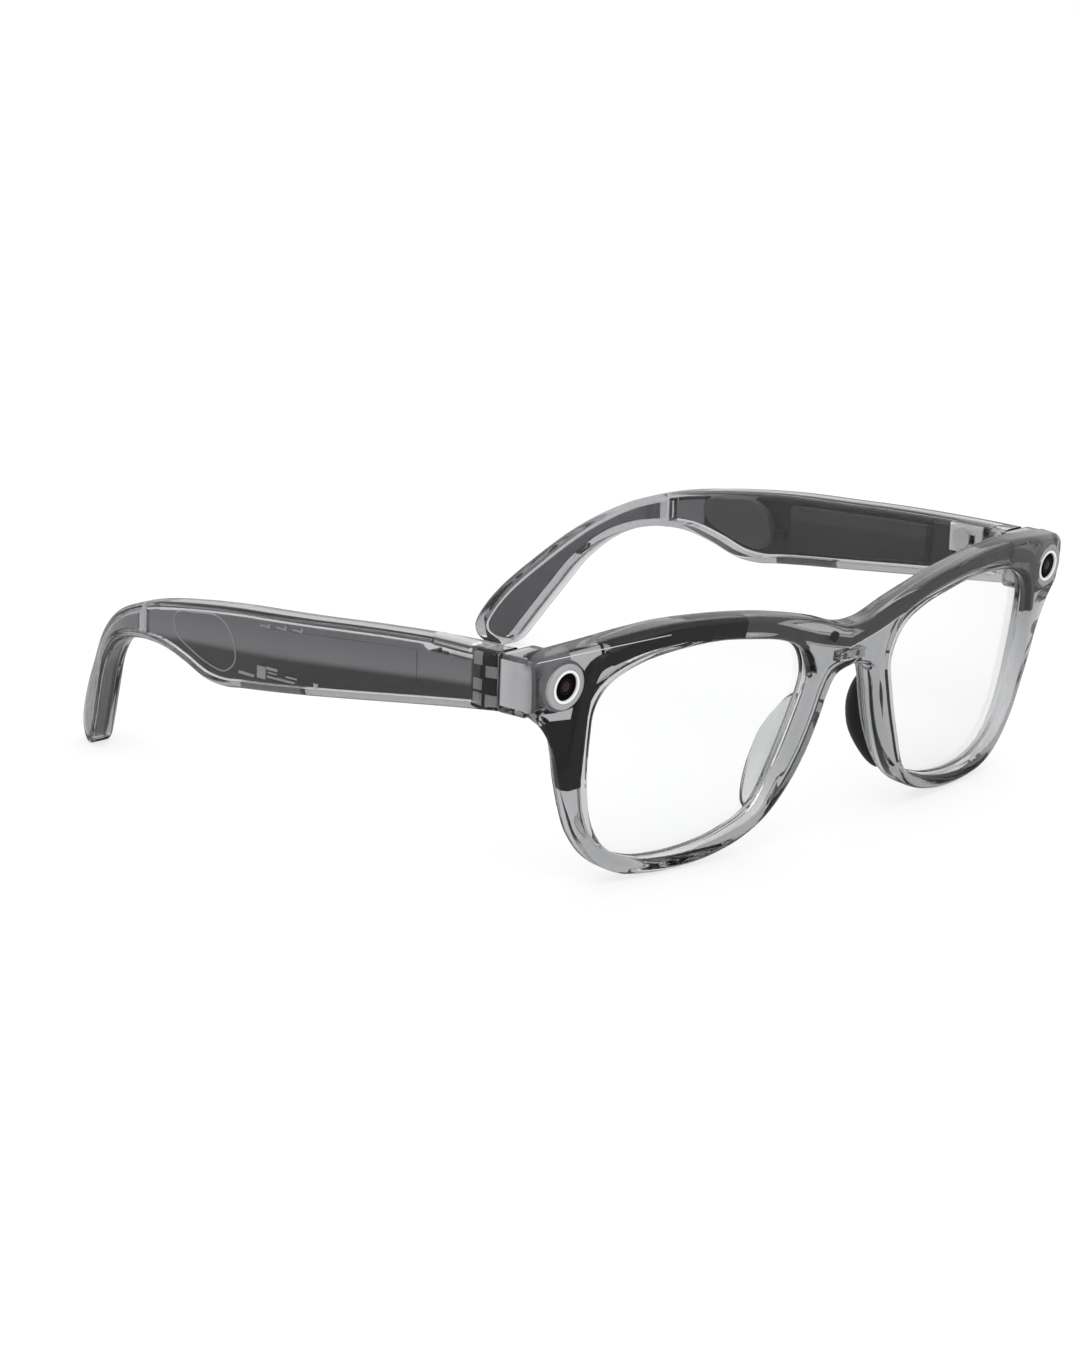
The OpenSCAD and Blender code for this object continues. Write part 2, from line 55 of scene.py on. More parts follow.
def smoothLine(points, steps):
    pts = [Vector(p) for p in points]
    n = len(pts)
    line = [splinePoint(pts[max(i - 1, 0)], pts[i], pts[i + 1], pts[min(i + 2, n - 1)], s / steps)
            for i in range(n - 1) for s in range(steps)]
    return line + [pts[-1]]


def isClockwise(points):
    return sum(a.x * b.y - b.x * a.y for a, b in zip(points, points[1:] + points[:1])) < 0


def grown(points, distance):
    sign = -1 if isClockwise(points) else 1
    out = []
    for i, p in enumerate(points):
        along = (points[(i + 1) % len(points)] - points[i - 1]).normalized()
        out.append(p + sign * distance * Vector((along.y, -along.x)))
    return out


# Straight-line value between listed pairs
def valueAt(pairs, at):
    for (a, low), (b, high) in zip(pairs, pairs[1:]):
        if at <= b:
            return low + (high - low) * min(max((at - a) / (b - a), 0), 1)
    return pairs[-1][1]


def ease(value, low, high):
    t = min(max((value - low) / (high - low), 0), 1)
    return t * t * (3 - 2 * t)


def circle(radius, count=64):
    return [Vector((radius * math.cos(2 * math.pi * i / count), radius * math.sin(2 * math.pi * i / count)))
            for i in range(count)]


def box(x0, y0, x1, y1):
    return [Vector(p) for p in ((x0, y0), (x1, y0), (x1, y1), (x0, y1))]


# Part of a closed outline that lies between two places along x
def clipped(points, low, high):
    out = []
    for a, b in zip(points, points[1:] + points[:1]):
        if low <= a.x <= high:
            out.append(a)
        for edge in (low, high) if a.x < b.x else (high, low):
            if (a.x - edge) * (b.x - edge) < 0:
                out.append(a.lerp(b, (edge - a.x) / (b.x - a.x)))
    return out


def startPiece():
    if bpy.context.object and bpy.context.object.mode != "OBJECT":
        bpy.ops.object.mode_set(mode="OBJECT")
    bpy.ops.object.select_all(action="DESELECT")


def applyPlace(obj):
    startPiece()
    obj.select_set(True)
    bpy.context.view_layer.objects.active = obj
    bpy.ops.object.transform_apply(location=True, rotation=True, scale=True)


def applyModifier(obj, kind, **values):
    startPiece()
    obj.select_set(True)
    bpy.context.view_layer.objects.active = obj
    modifier = obj.modifiers.new(kind.title(), kind)
    for key, value in values.items():
        setattr(modifier, key, value)
    bpy.ops.object.modifier_apply(modifier=modifier.name)


def combine(obj, other, operation):
    applyModifier(obj, "BOOLEAN", object=other, operation=operation, solver="EXACT")
    bpy.data.objects.remove(other)


# A flat outline, with any holes, becomes a plate with rounded edges: thickness is along z
def plate(loops, thickness, edge, rounds=4):
    startPiece()
    bpy.ops.curve.primitive_bezier_circle_add(radius=1)
    shape = bpy.context.object
    shape.location = (0, 0, 0)
    flat = shape.data
    flat.dimensions = "2D"
    flat.fill_mode = "BOTH"
    flat.splines.clear()
    for number, points in enumerate(loops):
        if isClockwise(points) != (number > 0):
            points = points[::-1]
        spline = flat.splines.new("POLY")
        spline.points.add(len(points) - 1)
        for p, q in zip(spline.points, points):
            p.co = (q.x, q.y, 0, 1)
        spline.use_cyclic_u = True
    flat.extrude = thickness / 2 - edge
    flat.bevel_depth = edge
    flat.bevel_resolution = rounds
    flat.offset = -edge
    bpy.ops.object.convert(target="MESH")
    obj = bpy.context.object
    bpy.ops.object.mode_set(mode="EDIT")
    bpy.ops.mesh.select_all(action="SELECT")
    bpy.ops.mesh.remove_doubles(threshold=0.001)
    bpy.ops.mesh.dissolve_limited(angle_limit=0.002)
    bpy.ops.mesh.normals_make_consistent(inside=False)
    bpy.ops.object.mode_set(mode="OBJECT")
    return obj


# Cuts run across the piece along x, so that it can be bent afterwards
def sliceAlong(obj, low, high, step):
    startPiece()
    obj.select_set(True)
    bpy.context.view_layer.objects.active = obj
    bpy.ops.object.mode_set(mode="EDIT")
    count = int((high - low) / step)
    for i in range(1, count):
        bpy.ops.mesh.select_all(action="SELECT")
        bpy.ops.mesh.bisect(plane_co=(low + i * (high - low) / count, 0, 0), plane_no=(1, 0, 0))
    bpy.ops.object.mode_set(mode="OBJECT")


def moveVertices(obj, where):
    for vertex in obj.data.vertices:
        vertex.co = where(vertex.co)
    obj.data.update()


def turnOver(obj):
    startPiece()
    obj.select_set(True)
    bpy.context.view_layer.objects.active = obj
    bpy.ops.object.mode_set(mode="EDIT")
    bpy.ops.mesh.select_all(action="SELECT")
    bpy.ops.mesh.flip_normals()
    bpy.ops.object.mode_set(mode="OBJECT")


def facesOutwards(obj):
    volume = 0
    for face in obj.data.polygons:
        volume += face.center.dot(face.normal) * face.area
    return volume > 0


def finishPiece(obj, name, material, body, replaced=(), angle=40, weighted=True):
    obj.name = name
    obj.data.name = name
    obj.data.materials.clear()
    obj.data.materials.append(material)
    startPiece()
    obj.select_set(True)
    bpy.context.view_layer.objects.active = obj
    if not facesOutwards(obj):
        turnOver(obj)
    bpy.ops.object.shade_smooth_by_angle(angle=math.radians(angle))
    if weighted:
        applyModifier(obj, "WEIGHTED_NORMAL", keep_sharp=True, weight=80)
    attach(obj, body)
    if replaced:
        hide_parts(*replaced)
    return obj


# The front's outline and its wrap

front = {
    "rake": 6.1,           # degrees
    "wrapRadius": 274,
    "pivotHeight": 40,     # height of the point that the front leans about
    "pivotOnFront": 15,
    "pivotDepth": 1,
    "proud": 1.2,
    "depth": 3.7,
    "edge": 1.25,          # rounding of the rims
    "half": [
        (0, 12.6), (4, 13), (10.7, 15), (18, 16.6), (26, 17.9), (36, 18.8), (46, 19), (54, 18.3),
        (62, 17.1), (68.5, 16.1), (72.2, 15.1), (73.6, 13), (73.7, 9.5), (73.1, 6.2), (69.6, 3),
        (66.9, -1.4), (65.2, -6.5), (63, -11.8), (60.4, -17), (56.2, -21.6), (50.5, -24.5), (43, -25.3),
        (36, -25.1), (30, -24.2), (24, -22.4), (18.4, -19.3), (13.9, -14.8), (10.2, -9), (7.7, -3),
        (6.4, 1), (4.5, 4.1), (0, 5.2)],
    "aperture": [
        (60.4, 1), (60, 6.4), (57, 10.3), (50.9, 12.9), (43, 14.2), (35, 14.5), (26.9, 13.7),
        (19.5, 12.4), (13.8, 9.8), (11.3, 4.6), (13.1, -2), (16.4, -10), (20.5, -17.5), (27, -20.6),
        (34, -22.1), (41.5, -22.6), (48.5, -21.9), (54.4, -19.2), (58.2, -14), (59.9, -7)],
    "outerEdge": [(-24, 52), (-21.6, 56.2), (-17, 60.4), (-11.8, 63), (-6.5, 65.2), (-1.4, 66.9),
                  (3, 69.6), (6.2, 73.1)],     # (height, x)
    "draftWidth": 6,
    "draft": [(-24, 0), (-17, 0.5), (-11.8, 0.8), (-6.5, 1.4), (-1.4, 2), (3, 3.6), (4.5, 3.4), (6.5, 0)],
    "sliceTo": 73.6, "sliceStep": 1.8,
    "grooveGrowth": 0.7, "grooveWidth": 1.66,    # groove that holds each lens
}


def wrapDepth(x, depth):
    return front["wrapRadius"] - math.sqrt((front["wrapRadius"] - depth) ** 2 - x * x)


# From the flat drawing (x, height on the front, depth behind the lens line) to its place, in metres
def onFront(x, height, depth):
    lean = math.radians(front["rake"])
    y = wrapDepth(x, depth)
    h = height - front["pivotOnFront"]
    return Vector((
        x,
        y * math.cos(lean) - h * math.sin(lean) + front["pivotDepth"] + depthShift,
        h * math.cos(lean) + y * math.sin(lean) + front["pivotHeight"],
    )) * mm


def bendOntoFront(obj, middleDepth):
    moveVertices(obj, lambda co: onFront(co.x, co.y, middleDepth - co.z))


def wholeFront():
    half = smoothLine(front["half"], 6)
    return half + [Vector((-p.x, p.y)) for p in half[-2:0:-1]]


lens = {"growth": 0.6, "thickness": 1.5, "depth": 1.6, "from": 11, "to": 61, "sliceStep": 2.5}
apertureLine = smoothLoop(front["aperture"], 6)


def mirroredPoints(points):
    return [Vector((-p.x, p.y)) for p in points[::-1]]


# Temples: flat drawing is (y along the temple, height, depth from the outer face)

temple = {
    "thickness": 6,
    "wall": 1.2,
    "split": 4.2,          # depth of the seam between the shell and the cover
    "edge": 1.3,
    "sliceStep": 2,
    "core": {"from": 22.3, "to": 100.5},                               # room for the electronics
    "tip": {"from": 102.5, "to": 140, "inset": 1.5, "start": 0.9},     # room for the core of the tip
    "side": [
        (18.5, 41.2), (27, 41.1), (36, 40.8), (47, 40.2), (58, 39.4), (75, 38.2), (89, 36.5), (100.4, 34.4),
        (109.8, 31.1), (118.4, 25.5), (126.4, 17.5), (131.6, 11.4), (134.8, 5.8), (135, 2.6), (133.2, 0.5),
        (130.6, 0), (128.6, 1.6), (126, 5.9), (122, 12.7), (118, 19), (112.3, 24.2), (104.7, 27),
        (96.8, 27.5), (90.1, 26), (84.4, 24.1), (79.1, 23.7), (73.7, 24.4), (58, 26.2), (42, 28.2),
        (27, 30.1), (18.5, 31.1)],
    "plan": [
        (18.5, 73.1), (27, 73.4), (36, 73.9), (52, 75.1), (67, 75.9), (78, 75.5), (89, 74.7), (100, 73.5),
        (109.5, 71.1), (118, 66.9), (126.5, 61.4), (136, 55.5)],
    "speaker": [
        (81.5, 35.7), (78, 33.8), (76.5, 30.2), (77, 28), (79.6, 26.4), (84, 27), (88, 28.4), (91.4, 30),
        (92.8, 32.5), (91.6, 34.5), (87, 35.2)],
}
sideLine = smoothLine(temple["side"], 5)
planLine = smoothLine(temple["plan"], 12)


def outerFace(y):
    if y <= planLine[0].x:
        return planLine[0].y
    for a, b in zip(planLine, planLine[1:]):
        if a.x <= y <= b.x:
            return a.y + (b.y - a.y) * (y - a.x) / (b.x - a.x)
    a, b = planLine[-2], planLine[-1]
    return b.y + (b.y - a.y) * (y - b.x) / (b.x - a.x)


# side is 1 for the wearer's left and -1 for the wearer's right
def onTemple(side, y, height, depth):
    return Vector((side * (outerFace(y) - depth), y + depthShift, height)) * mm


def bendOntoTemple(obj, side, middleDepth):
    moveVertices(obj, lambda co: onTemple(side, co.x, co.y, middleDepth - co.z))
    if side < 0:
        turnOver(obj)


# Shared effects

def addGroup(name, inputs, outputs):
    group = bpy.data.node_groups.new(name, "ShaderNodeTree")
    for label, kind, value in inputs:
        item = group.interface.new_socket(label, in_out="INPUT", socket_type=kind)
        if value is not None:
            item.default_value = value
    for label, kind in outputs:
        group.interface.new_socket(label, in_out="OUTPUT", socket_type=kind)
    return group, group.nodes.new("NodeGroupInput"), group.nodes.new("NodeGroupOutput")


# Fine moulding grain and faint wipe marks, as a colour factor, a roughness factor and a height
def makeSurfaceGroup():
    group, given, result = addGroup(
        "mouldedSurface",
        [("Grain Scale", "NodeSocketFloat", 900), ("Mark Scale", "NodeSocketFloat", 60),
         ("Colour Change", "NodeSocketFloat", 0.05), ("Low Roughness", "NodeSocketFloat", 0.2),
         ("High Roughness", "NodeSocketFloat", 0.3)],
        [("Shade", "NodeSocketFloat"), ("Roughness", "NodeSocketFloat"), ("Height", "NodeSocketFloat")])
    link = group.links.new
    place = group.nodes.new("ShaderNodeTexCoord")
    grain = group.nodes.new("ShaderNodeTexNoise")
    grain.inputs["Detail"].default_value = 3
    marks = group.nodes.new("ShaderNodeTexNoise")
    marks.inputs["Detail"].default_value = 5
    marks.inputs["Distortion"].default_value = 0.6
    link(place.outputs["Object"], grain.inputs["Vector"])
    link(place.outputs["Object"], marks.inputs["Vector"])
    link(given.outputs["Grain Scale"], grain.inputs["Scale"])
    link(given.outputs["Mark Scale"], marks.inputs["Scale"])
    rough = group.nodes.new("ShaderNodeMapRange")
    link(marks.outputs["Fac"], rough.inputs["Value"])
    rough.inputs["From Min"].default_value = 0.3
    rough.inputs["From Max"].default_value = 0.7
    link(given.outputs["Low Roughness"], rough.inputs["To Min"])
    link(given.outputs["High Roughness"], rough.inputs["To Max"])
    centred = group.nodes.new("ShaderNodeMath")
    centred.operation = "SUBTRACT"
    centred.inputs[1].default_value = 0.5
    link(marks.outputs["Fac"], centred.inputs[0])
    shade = group.nodes.new("ShaderNodeMath")
    shade.operation = "MULTIPLY_ADD"
    shade.inputs[2].default_value = 1
    link(centred.outputs[0], shade.inputs[0])
    link(given.outputs["Colour Change"], shade.inputs[1])
    link(shade.outputs[0], result.inputs["Shade"])
    link(rough.outputs[0], result.inputs["Roughness"])
    link(grain.outputs["Fac"], result.inputs["Height"])
    return group


surfaceGroup = makeSurfaceGroup()


def newMaterial(name):
    material = bpy.data.materials.new(name)
    material.use_nodes = True
    tree = material.node_tree
    return material, tree, tree.nodes["Principled BSDF"]


# Base colour, roughness and bump of an ordinary surface, all with the moulded grain on them
def solidMaterial(name, colour, rough=(0.25, 0.35), metal=0.0, grain=2500, marks=60, change=0.12, bump=0.012,
                  specular=0.5):
    material, tree, shader = newMaterial(name)
    link = tree.links.new
    surface = tree.nodes.new("ShaderNodeGroup")
    surface.node_tree = surfaceGroup
    surface.inputs["Grain Scale"].default_value = grain
    surface.inputs["Mark Scale"].default_value = marks
    surface.inputs["Colour Change"].default_value = change
    surface.inputs["Low Roughness"].default_value = rough[0]
    surface.inputs["High Roughness"].default_value = rough[1]
    tint = tree.nodes.new("ShaderNodeMix")
    tint.data_type = "RGBA"
    tint.blend_type = "MULTIPLY"
    tint.inputs["Factor"].default_value = 1
    tint.inputs[6].default_value = (*colour, 1)
    link(surface.outputs["Shade"], tint.inputs[7])
    link(tint.outputs[2], shader.inputs["Base Color"])
    link(surface.outputs["Roughness"], shader.inputs["Roughness"])
    relief = tree.nodes.new("ShaderNodeBump")
    relief.inputs["Strength"].default_value = bump
    relief.inputs["Distance"].default_value = 0.0001
    link(surface.outputs["Height"], relief.inputs["Height"])
    link(relief.outputs["Normal"], shader.inputs["Normal"])
    shader.inputs["Metallic"].default_value = metal
    shader.inputs["Specular IOR Level"].default_value = specular
    return material


# Painted sheen: a soft slanted band of painted light across a panel, standing in for a reflection: 0 below
# the line, 1 above it
def makePaintedSheenGroup():
    group, given, result = addGroup(
        "paintedSlantedSheen",
        [("Level", "NodeSocketFloat", 0.03), ("Slope", "NodeSocketFloat", 0.075),
         ("Reach", "NodeSocketFloat", 0.012)],
        [("Sheen", "NodeSocketFloat")])
    link = group.links.new
    place = group.nodes.new("ShaderNodeTexCoord")
    split = group.nodes.new("ShaderNodeSeparateXYZ")
    link(place.outputs["Object"], split.inputs[0])
    tilt = group.nodes.new("ShaderNodeMath")
    tilt.operation = "MULTIPLY_ADD"
    link(split.outputs["Y"], tilt.inputs[0])
    link(given.outputs["Slope"], tilt.inputs[1])
    link(split.outputs["Z"], tilt.inputs[2])
    above = group.nodes.new("ShaderNodeMath")
    above.operation = "SUBTRACT"
    link(tilt.outputs[0], above.inputs[0])
    link(given.outputs["Level"], above.inputs[1])
    part = group.nodes.new("ShaderNodeMath")
    part.operation = "DIVIDE"
    link(above.outputs[0], part.inputs[0])
    link(given.outputs["Reach"], part.inputs[1])
    link(part.outputs[0], result.inputs["Sheen"])
    return group


paintedSheenGroup = makePaintedSheenGroup()


# A dark panel with painted sheen: its upper part is painted lighter, as a painted reflection, with a soft
# slanted edge between the two
def paintedSheenMaterial(name, level, tones, reach=0.012):
    material = solidMaterial(name, (1, 1, 1), (0.35, 0.45), specular=0.08)
    tree = material.node_tree
    sheenMask = tree.nodes.new("ShaderNodeGroup")
    sheenMask.node_tree = paintedSheenGroup
    sheenMask.inputs["Level"].default_value = level
    sheenMask.inputs["Reach"].default_value = reach
    ramp = tree.nodes.new("ShaderNodeValToRGB")
    ramp.color_ramp.interpolation = "EASE"
    stops = ramp.color_ramp.elements
    while len(stops) < len(tones):
        stops.new(0.5)
    for stop, (place, tone) in zip(stops, tones):
        stop.position = place
        stop.color = (tone, tone, tone * 1.02, 1)
    tree.links.new(sheenMask.outputs["Sheen"], ramp.inputs["Fac"])
    tint = next(node for node in tree.nodes if node.bl_idname == "ShaderNodeMix")
    tree.links.new(ramp.outputs["Color"], tint.inputs[6])
    return material


# Clear plastic that darkens with thickness
def clearMaterial(name, colour, rough, density, change=0.03):
    material = solidMaterial(name, colour, rough, 0, grain=300, marks=25, change=change, bump=0.0)
    tree = material.node_tree
    shader = tree.nodes["Principled BSDF"]
    shader.inputs["Transmission Weight"].default_value = 1
    shader.inputs["IOR"].default_value = 1.46
    if density:
        body = tree.nodes.new("ShaderNodeVolumeAbsorption")
        body.inputs["Color"].default_value = (0.3, 0.302, 0.308, 1)
        body.inputs["Density"].default_value = density
        tree.links.new(body.outputs[0], tree.nodes["Material Output"].inputs["Volume"])
    return material


smokeClear = clearMaterial("smokeClear", (0.85, 0.855, 0.865), (0.0, 0.03), 190)
templeClear = clearMaterial("templeClear", (0.88, 0.885, 0.895), (0.0, 0.03), 150)
padClear = clearMaterial("padClear", (0.85, 0.855, 0.86), (0.03, 0.08), 120)
lensClear = clearMaterial("lensClear", (0.985, 0.99, 0.99), (0.0, 0.01), 0, change=0.005)
darkCarrier = solidMaterial("darkCarrier", (0.03, 0.03, 0.031), (0.3, 0.45), specular=0.08)
# Painted sheen: the tip cores, the right carrier and touch sensor and the left battery are painted lighter in
# their upper parts, standing in for reflected light
tipCore = paintedSheenMaterial("tipCore", 0.0, [(0.0, 0.16), (0.5, 0.2), (1.0, 0.26)], 0.036)
carrierPaintedSheen = paintedSheenMaterial("carrierPaintedSheen", 0.0292, [(0.0, 0.034), (0.12, 0.038), (0.24, 0.36), (0.9, 0.2)])
batteryPaintedSheen = paintedSheenMaterial("batteryPaintedSheen", 0.0292, [(0.0, 0.05), (0.3, 0.06), (0.45, 0.1), (0.9, 0.07)])
padDark = solidMaterial("padDark", (0.008, 0.008, 0.009), (0.25, 0.35), specular=0.35)
bezelGrey = solidMaterial("bezelGrey", (0.36, 0.36, 0.37), (0.25, 0.35))
ringWhite = solidMaterial("ringWhite", (0.85, 0.85, 0.85), (0.15, 0.25))
windowBlack = solidMaterial("windowBlack", (0.002, 0.002, 0.002), (0.02, 0.05), bump=0, specular=0.03)
lensGlint = solidMaterial("lensGlint", (0.03, 0.008, 0.008), (0.05, 0.1), bump=0, specular=0.4)
housingGrey = solidMaterial("housingGrey", (0.34, 0.34, 0.35), (0.3, 0.45))
barrelBlack = solidMaterial("barrelBlack", (0.006, 0.006, 0.006), (0.35, 0.5), specular=0.2)
boardMask = solidMaterial("boardMask", (0.03, 0.035, 0.033), (0.3, 0.45), specular=0.2)
flexFilm = solidMaterial("flexFilm", (0.25, 0.25, 0.255), (0.2, 0.3))
contactGold = solidMaterial("contactGold", (0.8, 0.6, 0.28), (0.2, 0.3), metal=1)
steelSatin = solidMaterial("steelSatin", (0.75, 0.75, 0.76), (0.25, 0.4), metal=1)
silverSatin = solidMaterial("silverSatin", (0.8, 0.8, 0.81), (0.25, 0.35), metal=1)
satinPlate = solidMaterial("satinPlate", (0.4, 0.4, 0.41), (0.35, 0.5), specular=0.3)
grilleGrey = solidMaterial("grilleGrey", (0.3, 0.3, 0.31), (0.35, 0.5))
speakerGrey = solidMaterial("speakerGrey", (0.13, 0.13, 0.132), (0.35, 0.45), specular=0.15)
seamLight = solidMaterial("seamLight", (0.62, 0.62, 0.63), (0.3, 0.4), specular=0.3)
bridgeSmoke = solidMaterial("bridgeSmoke", (0.3, 0.3, 0.31), (0.2, 0.3))


# Camera, light and floor

studio = {
    "cameraPlace": (-0.57504, -0.49762, 0.21097),
    "cameraTurn": (75.552, -1.914, -48.336),
    "lens": 114.8,
    "lights": [("keyLight", (-0.7, -0.5, 1.1), 0.9, 5), ("fillLight", (0.9, 0.3, 0.9), 0.9, 2.5)],
    "worldStrength": 1.0,
    "worldInGloss": 0.7,
    "floorGlow": 0.68,   # lifts the floor, so that the shadows on it stay faint
    "floorInGloss": 0.0,
}


# Reflections see a darker room than the camera does, as with black cards round the table
def dimForReflections(tree, socket, plain, inGloss):
    path = tree.nodes.new("ShaderNodeLightPath")
    level = tree.nodes.new("ShaderNodeMapRange")
    level.inputs["To Min"].default_value = plain
    level.inputs["To Max"].default_value = inGloss
    reflected = tree.nodes.new("ShaderNodeMath")
    reflected.operation = "SUBTRACT"
    tree.links.new(path.outputs["Is Glossy Ray"], reflected.inputs[0])
    tree.links.new(path.outputs["Is Transmission Ray"], reflected.inputs[1])
    tree.links.new(reflected.outputs[0], level.inputs["Value"])
    tree.links.new(level.outputs[0], socket)


def makeStudio():
    bpy.ops.object.camera_add(location=studio["cameraPlace"],
                              rotation=[math.radians(a) for a in studio["cameraTurn"]])
    camera = bpy.context.object
    camera.name = "camera"
    camera.data.lens = studio["lens"]
    camera.data.sensor_width = 36
    camera.data.clip_start = 0.01
    bpy.context.scene.camera = camera
    world = bpy.data.worlds.new("studio")
    bpy.context.scene.world = world
    world.use_nodes = True
    sky = world.node_tree.nodes["Background"]
    sky.inputs["Color"].default_value = (1, 1, 1, 1)
    dimForReflections(world.node_tree, sky.inputs["Strength"], studio["worldStrength"],
                      studio["worldInGloss"])
    for name, place, size, power in studio["lights"]:
        bpy.ops.object.light_add(type="AREA", location=place)
        light = bpy.context.object
        light.name = name
        light.data.size = size
        light.data.energy = power
        light.rotation_euler = (Vector((0, 0, 0)) - Vector(place)).to_track_quat("-Z", "Y").to_euler()
    bpy.ops.mesh.primitive_plane_add(size=6, location=(0, 0, 0))
    floor = bpy.context.object
    floor.name = "floor"
    paper = solidMaterial("floorPaper", (0.3, 0.3, 0.3), (0.7, 0.8), grain=300, marks=4, change=0.01,
                          specular=0.1)
    glow = paper.node_tree.nodes["Principled BSDF"]
    glow.inputs["Emission Color"].default_value = (1, 1, 1, 1)
    dimForReflections(paper.node_tree, glow.inputs["Emission Strength"], studio["floorGlow"],
                      studio["floorInGloss"])
    floor.data.materials.append(paper)
    bpy.context.scene.view_settings.view_transform = "Standard"
    print("studio ready")


makeStudio()


# Front frame

endBlock = {"low": (64.6, 11.8, 31.3), "high": (73.3, 18.1, 41.25), "edge": 0.7}


def makeEndBlock(side):
    low, high = Vector(endBlock["low"]), Vector(endBlock["high"])
    middle = (low + high) / 2
    startPiece()
    place = Vector((side * middle.x, middle.y + depthShift, middle.z)) * mm
    bpy.ops.mesh.primitive_cube_add(size=1, location=place)
    block = bpy.context.object
    block.scale = (high - low) * mm
    applyPlace(block)
    bpy.ops.object.mode_set(mode="EDIT")
    bpy.ops.mesh.select_all(action="SELECT")
    bpy.ops.mesh.bevel(offset=endBlock["edge"] * mm, segments=4, affect="EDGES")
    bpy.ops.object.mode_set(mode="OBJECT")
    return block


# Light on the wearer's right and camera on the left: radii, and depths along the module's own axis
module = {
    "x": 67, "height": 10.5, "toe": 4, "proud": 0.2,
    "glass": 2.4, "ring": 2.9, "bezel": 4, "depth": 1.25,
    "room": 0.02,                                  # between the bezel and the bore round it
    "boreFrom": -3,
    "windowDepth": (0.35, 1.1),
    "rim": (1.3, 1.15), "rimDepth": (0.3, 0.4),
    "dome": 0.95, "domeDepth": 0.4, "domeRise": 0.14,
}


# Depth runs back along the module's own axis
def modulePlace(side):
    mouth = wrapDepth(module["x"], 0) - front["proud"] - module["proud"]
    return (Matrix.Translation((0, front["pivotDepth"] + depthShift, front["pivotHeight"]))
            @ Matrix.Rotation(math.radians(front["rake"]), 4, "X")
            @ Matrix.Translation((side * module["x"], mouth, module["height"] - front["pivotOnFront"]))
            @ Matrix.Rotation(math.radians(side * module["toe"]), 4, "Z")
            @ Matrix.Rotation(math.radians(-90), 4, "X"))


# Clears the round opening that the light or the camera sits in
def boreForModule(body, side):
    near, far = module["boreFrom"], module["depth"] + module["room"]
    bore = plate([circle(module["bezel"] + module["room"])], far - near, 0.05, 1)
    place = modulePlace(side)
    moveVertices(bore, lambda co: (place @ Vector((co.x, co.y, co.z + (near + far) / 2))) * mm)
    combine(body, bore, "DIFFERENCE")


def makeFrontFrame():
    half = (front["proud"] + front["depth"]) / 2
    middle = (front["depth"] - front["proud"]) / 2
    loops = [wholeFront(), apertureLine, mirroredPoints(apertureLine)]
    body = plate(loops, 2 * half, front["edge"], 5)
    groove = plate([grown(apertureLine, front["grooveGrowth"])], front["grooveWidth"], 0.1, 1)
    moveVertices(groove, lambda co: Vector((co.x, co.y, co.z + middle - lens["depth"])))
    otherGroove = groove.copy()
    otherGroove.data = groove.data.copy()
    bpy.context.collection.objects.link(otherGroove)
    moveVertices(otherGroove, lambda co: Vector((-co.x, co.y, co.z)))
    turnOver(otherGroove)
    combine(body, groove, "DIFFERENCE")
    combine(body, otherGroove, "DIFFERENCE")
    sliceAlong(body, -front["sliceTo"], front["sliceTo"], front["sliceStep"])

    # the rear half of the rims is narrower on the outer side, from the end block down
    def drafted(co):
        edge = valueAt(front["outerEdge"], co.y)
        outer = min(max((abs(co.x) - edge + front["draftWidth"]) / front["draftWidth"], 0), 1)
        move = valueAt(front["draft"], co.y) * outer * ease(-co.z, -half * 0.3, half)
        return Vector((co.x - math.copysign(move, co.x), co.y, co.z))

    moveVertices(body, drafted)
    bendOntoFront(body, middle)
    for side in (1, -1):
        combine(body, makeEndBlock(side), "UNION")
        boreForModule(body, side)
    return finishPiece(body, "frontFrame", smokeClear, "front", ["front_frame"])


makeFrontFrame()
print("front frame done")


def makeLens(side):
    body = plate([grown(apertureLine, lens["growth"])], lens["thickness"], 0.1, 1)
    sliceAlong(body, lens["from"], lens["to"], lens["sliceStep"])
    if side < 0:
        moveVertices(body, lambda co: Vector((-co.x, co.y, co.z)))
        turnOver(body)
    bendOntoFront(body, lens["depth"])
    name, node = ("lensLeft", "lens_left") if side > 0 else ("lensRight", "lens_right")
    return finishPiece(body, name, lensClear, "front", [node])


for side in (1, -1):
    makeLens(side)
print("lenses done")


# Room for the electronics and, further back, for the core of the tip
def hollowOut(body):
    middle = temple["thickness"] / 2
    wall, core, tip = temple["wall"], temple["core"], temple["tip"]
    pastSeam = 0.4
    for inset, low, high, start in ((wall, core["from"], core["to"], wall),
                                    (tip["inset"], tip["from"], tip["to"], tip["start"])):
        deep = temple["split"] + pastSeam - start
        cavity = plate([clipped(grown(sideLine, -inset), low, high)], deep, 0.25, 2)
        moveVertices(cavity, lambda co: Vector((co.x, co.y, co.z + middle - start - deep / 2)))
        combine(body, cavity, "DIFFERENCE")


def splitBody(body, keepOuter):
    startPiece()
    part = body.copy()
    part.data = body.data.copy()
    bpy.context.collection.objects.link(part)
    part.select_set(True)
    bpy.context.view_layer.objects.active = part
    bpy.ops.object.mode_set(mode="EDIT")
    bpy.ops.mesh.select_all(action="SELECT")
    level = temple["thickness"] / 2 - temple["split"] + (0.01 if keepOuter else -0.01)
    bpy.ops.mesh.bisect(plane_co=(0, 0, level), plane_no=(0, 0, 1), use_fill=True,
                        clear_inner=keepOuter, clear_outer=not keepOuter)
    bpy.ops.object.mode_set(mode="OBJECT")
    return part


hinge = {"x": 67.6, "y": 19.6, "pocket": 2.5, "low": 32.8, "high": 40.4}


def cylinderAt(place, radius, depth):
    startPiece()
    bpy.ops.mesh.primitive_cylinder_add(vertices=48, radius=radius, depth=depth, location=place)
    obj = bpy.context.object
    applyPlace(obj)
    return obj


